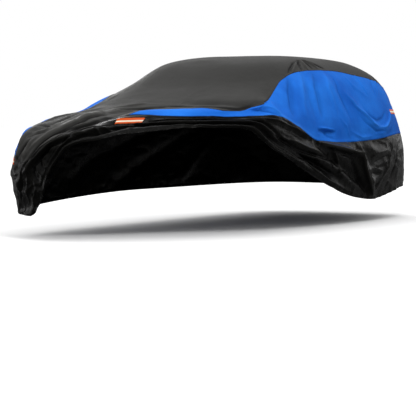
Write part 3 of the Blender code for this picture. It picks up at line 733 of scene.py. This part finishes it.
def cloth_material(look):
    made, tree, shader = new_material("woven_" + look.name)
    broad = spread(tree, noise_node(tree, 2.3, 4.0, 0.6), 0.3, 0.7)
    fine = noise_node(tree, 420.0, 2.0)
    colour = mixed(tree, broad, look.deep, look.light)
    weave = weave_height(tree)
    # Painted shade: the threads lying low in the weave are darker.
    shaded_low_thread = tuple(0.72 * x for x in look.deep)
    colour = mixed(tree, spread(tree, weave, 0.1, 0.6, 0.35, 0.0), colour, shaded_low_thread)
    ridge = node(tree, "Attribute", attribute_name="creased").outputs["Fac"]
    # Painted highlight: the ridges of creases are lightened toward the third colour, more or less by a
    # fine noise.
    worn = spread(tree, ridge, *look.wear)
    worn = maths(tree, "MULTIPLY", worn, spread(tree, fine, 0.3, 0.7, 0.4, 0.8))
    colour = mixed(tree, worn, colour, look.worn)
    # Painted shade: the hollows of creases are darkened.
    hollow = spread(tree, ridge, *HOLLOW_DEPTHS, 0.0, look.shade)
    colour = mixed(tree, hollow, colour, tuple(0.08 * x for x in look.deep))
    thread = stitches(tree, look.stitch_rows)
    colour = mixed(tree, thread, colour, look.thread)
    rough = maths(tree, "ADD", look.roughness - 0.06, maths(tree, "MULTIPLY", broad, 0.10))
    rough = maths(tree, "SUBTRACT", rough, maths(tree, "MULTIPLY", worn, 0.2))
    bumped = bump(tree, noise_node(tree, 17.0, 6.0, 0.62, 0.6), look.crinkle, 0.010)
    bumped = bump(tree, weave, 0.35, 0.0004, bumped)
    bumped = bump(tree, thread, *THREAD_RISE, bumped)
    feed(tree, shader, {"Base Color": colour, "Roughness": rough, "Normal": bumped})
    shader.inputs["Specular IOR Level"].default_value = look.specular
    return made


LINE_HALF = (0.0062, 0.0072)  # where the cream line is whole and where it ends, from its middle


def strip_material():
    """Orange reflective tape with a cream line along its middle, of fine glass beads."""
    made, tree, shader = new_material("beaded_orange_strip")
    away = placed(tree, "edge")[1]
    off = maths(tree, "ABSOLUTE", maths(tree, "SUBTRACT", away, STRIP_WIDTH / 2))
    line = spread(tree, off, *LINE_HALF, 1.0, 0.0)
    grain = noise_node(tree, 900.0, 2.0)
    orange = mixed(tree, grain, (0.60, 0.065, 0.003), (0.76, 0.110, 0.007))
    cream = mixed(tree, grain, (0.80, 0.72, 0.52), (0.95, 0.88, 0.70))
    thread = stitches(tree, (0.0025, STRIP_WIDTH - 0.0025))
    colour = mixed(tree, thread, mixed(tree, line, orange, cream), (0.35, 0.06, 0.01))
    rough = spread(tree, grain, 0.3, 0.7, 0.36, 0.46)
    bumped = bump(tree, thread, *THREAD_RISE, bump(tree, grain, 0.2, 0.0003))
    feed(tree, shader, {"Base Color": colour, "Roughness": rough, "Normal": bumped})
    shader.inputs["Specular IOR Level"].default_value = 0.1
    return made


MATERIALS = {look.name: cloth_material(look) for look in LOOKS}
MATERIALS["orange_strip"] = strip_material()
SLOTS = {
    "top": "charcoal_cloth", "side": "blue_cloth", "skirt": "black_cloth", "strip": "orange_strip",
}

# ---- meshes

SEAM_LAP = 0.004  # how far the upper cloth of a seam reaches over the lower one
SEAM_RAISE = 0.0016
SEAM_FADE = (0.008, 0.022)  # from the edge, where the raised cloth begins to sink and is down
# How far the hem's turned-up cloth goes below the edge and in behind it.
HEM_TURN = (
    (0.0015, 0.0006), (0.0025, 0.0028), (0.0015, 0.0050), (-0.002, 0.0062), (-0.010, 0.0062),
    (-0.021, 0.0056), (-0.026, 0.0034),
)
HEM_SWELL = 0.0022
HEM_FADE = (0.012, 0.024)
EDGE_CROWDING = 1.15  # brings rows closer together toward a panel's lower edge

# Spacing of the columns of points, as bearing and pitch.
TOP_PITCH = (
    (-180, 0.020), (-60, 0.018), (-45, 0.011), (-40, 0.0045), (-31, 0.0045), (-27, 0.011),
    (20, 0.011), (60, 0.013), (100, 0.013), (150, 0.018), (180, 0.020),
)
SIDE_PITCH = (
    (-180, 0.014), (-46, 0.014), (-41, 0.004), (-31, 0.004), (0, 0.008), (140, 0.008),
    (160, 0.012), (180, 0.012),
)
SKIRT_PITCH = (
    (-180, 0.011), (-60, 0.011), (-40, 0.0065), (130, 0.0065), (150, 0.010), (180, 0.011),
)
CREST_ROWS = 6
CREST_HOLE = -0.97  # level of the ring of points round the one face in the middle of the crest
TOP_ROWS = 76
TOP_PATCHES = ((-46, 24, 2.2), (56, 98, 0.85))  # bearings and level beyond which it is finer
STRIP_COLUMNS, STRIP_ROWS = 61, 11
STRIP_STEP = 0.05  # of level, to measure the strip's width over


def columns_from(start, stop, pitches):
    """Bearings from start round to stop, spaced along the cover's edge by a pitch table."""
    if stop <= start:
        stop += 360
    fine = np.linspace(start, stop, 3000)
    edge = base_points(fine, np.full(len(fine), 5.0))
    pitch = np.interp(wrapped(fine), *np.array(pitches, float).T)
    steps = np.linalg.norm(np.diff(edge, axis=0), axis=1)
    count = np.concatenate([[0], np.cumsum(steps / ((pitch[1:] + pitch[:-1]) / 2))])
    total = 2 * round(count[-1] / 2)
    return np.interp(np.linspace(0, count[-1], total + 1), count, fine)


def add_piece(name, stands_for, points, faces, weave, edge, creased=None, thickness=SHEET):
    """A smooth sheet that stands for a CAD node, of the grid points that its faces use."""
    used = np.unique(np.concatenate([np.asarray(face) for face in faces]))
    index = np.full(points[..., 0].size, -1)
    index[used] = np.arange(len(used))
    faces = [tuple(index[corner] for corner in face) for face in faces]
    mesh = bpy.data.meshes.new(name)
    places = points.reshape(-1, 3)[used] - np.array([0, 0, CREST_HEIGHT])
    mesh.from_pydata(places.tolist(), [], faces)
    corner = np.zeros(len(mesh.loops), np.int32)
    mesh.loops.foreach_get("vertex_index", corner)
    for layer_name, values in (("weave", weave), ("edge", edge)):
        layer = mesh.uv_layers.new(name=layer_name)
        values = values.reshape(-1, 2)[used][corner]
        layer.data.foreach_set("uv", values.ravel().astype(np.float32))
    if creased is not None:
        attribute = mesh.attributes.new("creased", "FLOAT", "POINT")
        attribute.data.foreach_set("value", creased.ravel()[used].astype(np.float32))
    mesh.validate()
    mesh.shade_smooth()
    made = bpy.data.objects.new(name, mesh)
    bpy.context.scene.collection.objects.link(made)
    solid = made.modifiers.new("thickness", "SOLIDIFY")
    solid.thickness = thickness
    solid.offset = -1
    slot = SLOTS[stands_for.split("_")[0]]
    made.data.materials.append(MATERIALS[slot])
    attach(made, "root")
    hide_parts(stands_for)
    return made


def cloth_grid(columns, level):
    """Points of the cloth for rows of levels at the same bearings, and how creased it is."""
    bearing = np.broadcast_to(columns, level.shape)
    points, creased = cloth(bearing.ravel(), level.ravel())
    return points.reshape(*level.shape, 3), creased.reshape(level.shape)


def edge_distances(points):
    """For a grid of points: lengths along its last row, and up the columns from that row."""
    along = np.linalg.norm(np.diff(points[-1], axis=0, prepend=points[-1, :1]), axis=1)
    down = np.linalg.norm(np.diff(points, axis=0), axis=2)
    away = np.concatenate([np.cumsum(down[::-1], axis=0)[::-1], np.zeros((1, points.shape[1]))])
    return np.stack([np.broadcast_to(np.cumsum(along), away.shape), away], -1)


def crowded(rows):
    """Shares of the way down a panel, closer together toward its lower edge."""
    return 1 - (1 - np.linspace(0, 1, rows + 1)[:, None]) ** EDGE_CROWDING


def grid_faces(rows, count):
    """Faces of a grid of rows and count columns of points."""
    return [
        (r * count + c, (r + 1) * count + c, (r + 1) * count + c + 1, r * count + c + 1)
        for r in range(rows - 1)
        for c in range(count - 1)
    ]


def patched_faces(count, patch):
    """Faces of a grid that closes round, with cells joined four into one outside the patch."""
    high, wide = patch.shape
    faces = []
    for r, c in np.ndindex(high, wide):

        def at(i, j):
            return (2 * r + i) * count + (2 * c + j) % count

        if patch[r, c]:
            for i, j in np.ndindex(2, 2):
                faces.append((at(i, j), at(i + 1, j), at(i + 1, j + 1), at(i, j + 1)))
            continue
        loop = (
            (0, 0, True), (1, 0, patch[r, c - 1]),
            (2, 0, True), (2, 1, r + 1 < high and patch[r + 1, c]),
            (2, 2, True), (1, 2, patch[r, (c + 1) % wide]),
            (0, 2, True), (0, 1, r > 0 and patch[r - 1, c]),
        )
        faces.append(tuple(at(i, j) for i, j, needed in loop if needed))
    return faces


def lapped(points, bearing, level):
    """The grid with its last rows raised and run on a little, over the next panel."""
    out = down_and_out(bearing, level)[1]
    across = np.cross(np.gradient(points[-1], axis=0), out)
    away = edge_distances(points)[..., 1]
    raised = SEAM_RAISE * (1 - smoothstep(away, *SEAM_FADE))
    points = points + out * raised[..., None]
    points[-1] += across / np.linalg.norm(across, axis=1)[:, None] * SEAM_LAP
    return points


def turned_up(points, creased, bearing, level):
    """Turns the skirt's lower edge up on the inside, round the elastic, as a hem."""
    down, out = down_and_out(bearing, level)
    away = edge_distances(points)[..., 1]
    swell = HEM_SWELL * (1 - smoothstep(away, *HEM_FADE))
    points = points + out * swell[..., None]
    more = [points[-1] + down * drop - out * back for drop, back in HEM_TURN]
    points = np.concatenate([points, np.array(more)])
    creased = np.concatenate([creased, np.repeat(creased[-1:], len(more), axis=0)])
    return points, creased


def panel(name, stands_for, columns, start, stop, rows, hem=False):
    """A panel of the cover between two level lines."""
    share = crowded(rows) if hem else np.linspace(0, 1, rows + 1)[:, None]
    points, creased = cloth_grid(columns, start + (stop - start) * share)
    edge = edge_distances(points)
    if hem:
        points, creased = turned_up(points, creased, columns, stop)
        behind = np.repeat(edge[-1:], len(HEM_TURN), axis=0)
        behind[..., 1] = -1
        edge = np.concatenate([edge, behind])
    else:
        points = lapped(points, columns, stop)
    faces = grid_faces(*points.shape[:2])
    return add_piece(name, stands_for, points, faces, edge, edge, creased)


def make_top():
    columns = columns_from(-180, 180, TOP_PITCH)[:-1]
    count = len(columns)
    edge = line_level(SKIRT_SEAM, columns)
    for tips, seam in ((LEFT_TIPS, LEFT_TOP_SEAM), (RIGHT_TIPS, RIGHT_TOP_SEAM)):
        beside = (columns > tips[0]) & (columns < tips[1])
        edge = np.where(beside, line_level(seam, columns), edge)
    inner = np.linspace(CREST_HOLE, 0, 2 * CREST_ROWS + 1)[:-1, None] + np.zeros(count)
    level = np.concatenate([inner, edge * crowded(2 * TOP_ROWS)])
    points, creased = cloth_grid(columns, level)
    edge_uv = edge_distances(points)
    points = lapped(points, columns, edge)
    middles, middle_level = columns[1::2], level[1::2, 1::2]
    patch = np.zeros(middle_level.shape, bool)
    for low, high, from_level in TOP_PATCHES:
        patch |= (middles > low) & (middles < high) & (middle_level > from_level)
    patch[-1] = True
    faces = patched_faces(count, patch)
    faces.append(tuple(range(0, count, 2)))
    return add_piece("top_cloth", "top_panel", points, faces, points[..., :2], edge_uv, creased)


def make_strip(strip):
    columns = np.linspace(*strip.bearings, STRIP_COLUMNS)
    middle = np.interp(columns, strip.bearings, strip.levels)
    drop = base_points(columns, middle + STRIP_STEP) - base_points(columns, middle - STRIP_STEP)
    half = STRIP_WIDTH * STRIP_STEP / np.linalg.norm(drop, axis=1)
    points = cloth_grid(columns, middle + half * np.linspace(-1, 1, STRIP_ROWS)[:, None])[0]
    out = np.cross(np.gradient(points, axis=0), np.gradient(points, axis=1))
    out /= np.linalg.norm(out, axis=2)[..., None]
    points += out * (STRIP_LIFT + STRIP_THICKNESS)
    edge = edge_distances(points)
    faces = grid_faces(*points.shape[:2])
    name = "strip_" + strip.place
    return add_piece("reflective_" + name, name, points, faces, edge, edge, thickness=STRIP_THICKNESS)


top = make_top()
for side, tips, seam, rows in (
    ("left", LEFT_TIPS, LEFT_TOP_SEAM, 70),
    ("right", RIGHT_TIPS, RIGHT_TOP_SEAM, 50),
):
    columns = columns_from(*tips, SIDE_PITCH)
    upper, lower = line_level(seam, columns), line_level(SKIRT_SEAM, columns)
    panel("side_cloth_" + side, "side_panel_" + side, columns, upper, lower, rows)
for i, (side, rows) in enumerate((("front", 76), ("left", 76), ("rear", 56), ("right", 56))):
    columns = columns_from(SKIRT_JOINS[i], SKIRT_JOINS[(i + 1) % 4], SKIRT_PITCH)
    at = wrapped(columns)
    upper, lower = line_level(SKIRT_SEAM, at), line_level(HEM, at)
    panel("skirt_cloth_" + side, "skirt_" + side, columns, upper, lower, rows, True)
strips = {strip.place: make_strip(strip) for strip in STRIPS}


# ---- camera, light and floor

CAMERA_AZIMUTH = 30.6
CAMERA_ELEVATION = 0.94
CAMERA_DISTANCE = 14.0
TARGET_HEIGHT = 0.7
FOCAL_PIXELS = 1650
PRINCIPAL = (225.5, 142.6)  # where the camera looks, in pixels
SENSOR = 36  # width in millimetres
SKY = (0.05, 1.4)  # strength at the horizon and overhead
WALL_AZIMUTH = 62  # a little to the left of straight behind
WALL = (0.15, 0.9, 0.0, 0.75)
WALL_RISE = (0.10, 0.55, 0.05, 1.0)
FLOOR_HALF = 80
FLOOR_COLOUR = (0.98, 0.98, 0.98)
FLOOR_BOUNCE = (0.18, 0.18, 0.18)  # kept low, so that the black cloth stays dark below


def add_camera():
    a, e = math.radians(CAMERA_AZIMUTH), math.radians(CAMERA_ELEVATION)
    back = Vector((math.sin(a) * math.cos(e), -math.cos(a) * math.cos(e), math.sin(e)))
    right = Vector((math.cos(a), math.sin(a), 0))
    up = back.cross(right)
    eye = Vector((0, 0, TARGET_HEIGHT - CREST_HEIGHT)) + back * CAMERA_DISTANCE
    data = bpy.data.cameras.new("camera")
    data.sensor_width = SENSOR
    data.lens = FOCAL_PIXELS / IMAGE * SENSOR
    data.shift_x = (IMAGE / 2 - PRINCIPAL[0]) / IMAGE
    data.shift_y = -(IMAGE / 2 - PRINCIPAL[1]) / IMAGE
    data.clip_end = 500
    camera = bpy.data.objects.new("camera", data)
    turned = Matrix((right, up, back)).transposed()
    camera.matrix_world = Matrix.Translation(eye) @ turned.to_4x4()
    bpy.context.scene.collection.objects.link(camera)
    bpy.context.scene.camera = camera


def add_area_light(name, place, target, size, energy):
    data = bpy.data.lights.new(name, "AREA")
    data.shape = "RECTANGLE"
    data.size, data.size_y = size
    data.energy = energy
    light = bpy.data.objects.new(name, data)
    light.location = place
    light.rotation_euler = (Vector(target) - Vector(place)).to_track_quat("-Z", "Y").to_euler()
    bpy.context.scene.collection.objects.link(light)


def seen_by_camera(tree):
    return node(tree, "LightPath").outputs["Is Camera Ray"]


def make_world():
    """White behind everything; as a light, a white wall behind and a softer sky above.

    The cloth shines where it turns up or away, and stays dark where it faces the camera.
    """
    world = bpy.data.worlds.new("studio")
    world.use_nodes = True
    tree = world.node_tree
    x, y, up = split(tree, node(tree, "TexCoord").outputs["Generated"])[:3]
    a = math.radians(WALL_AZIMUTH)
    along, across = maths(tree, "MULTIPLY", y, math.cos(a)), maths(tree, "MULTIPLY", x, math.sin(a))
    behind = maths(tree, "SUBTRACT", along, across)
    wall = maths(tree, "MULTIPLY", spread(tree, behind, *WALL), spread(tree, up, *WALL_RISE))
    level = maths(tree, "ADD", spread(tree, up, -0.1, 0.9, *SKY), wall)
    inputs = {"Factor": seen_by_camera(tree), "A": level, "B": 1.0}
    mix = node(tree, "Mix", inputs, data_type="FLOAT")
    light = {"Color": (1, 1, 1, 1), "Strength": mix.outputs["Result"]}
    feed(tree, tree.nodes["Background"], light)
    bpy.context.scene.world = world


def make_floor():
    """White to the camera, and dark to the light that it throws back."""
    mesh = bpy.data.meshes.new("floor")
    far = FLOOR_HALF
    corners = [(x, y, -CREST_HEIGHT) for x, y in ((-far, -far), (far, -far), (far, far), (-far, far))]
    mesh.from_pydata(corners, [], [(0, 1, 2, 3)])
    floor = bpy.data.objects.new("floor", mesh)
    bpy.context.scene.collection.objects.link(floor)
    made, tree, shader = new_material("floor")
    colour = mixed(tree, seen_by_camera(tree), FLOOR_BOUNCE, FLOOR_COLOUR)
    feed(tree, shader, {"Base Color": colour, "Roughness": 0.9, "Specular IOR Level": 0.0})
    mesh.materials.append(made)


add_camera()
add_area_light("key", (3.5, -4.5, 4.0), (0, 0, -0.6), (2.0, 1.2), 150)
add_area_light("fill", (-6.0, 4.5, 1.6), (0, 0, -0.9), (3.0, 1.5), 70)
add_area_light("side", (7.5, -1.5, -0.2), (0.9, 0.6, -0.9), (3.0, 2.0), 38)
add_area_light("rear", (1.5, 8.0, 0.4), (0.9, 1.7, -0.8), (3.0, 2.0), 18)
add_area_light("front", (-7.0, -2.6, -0.9), (-0.7, -2.1, -0.95), (3.0, 1.2), 40)
make_world()
make_floor()
bpy.context.scene.view_settings.view_transform = "Standard"
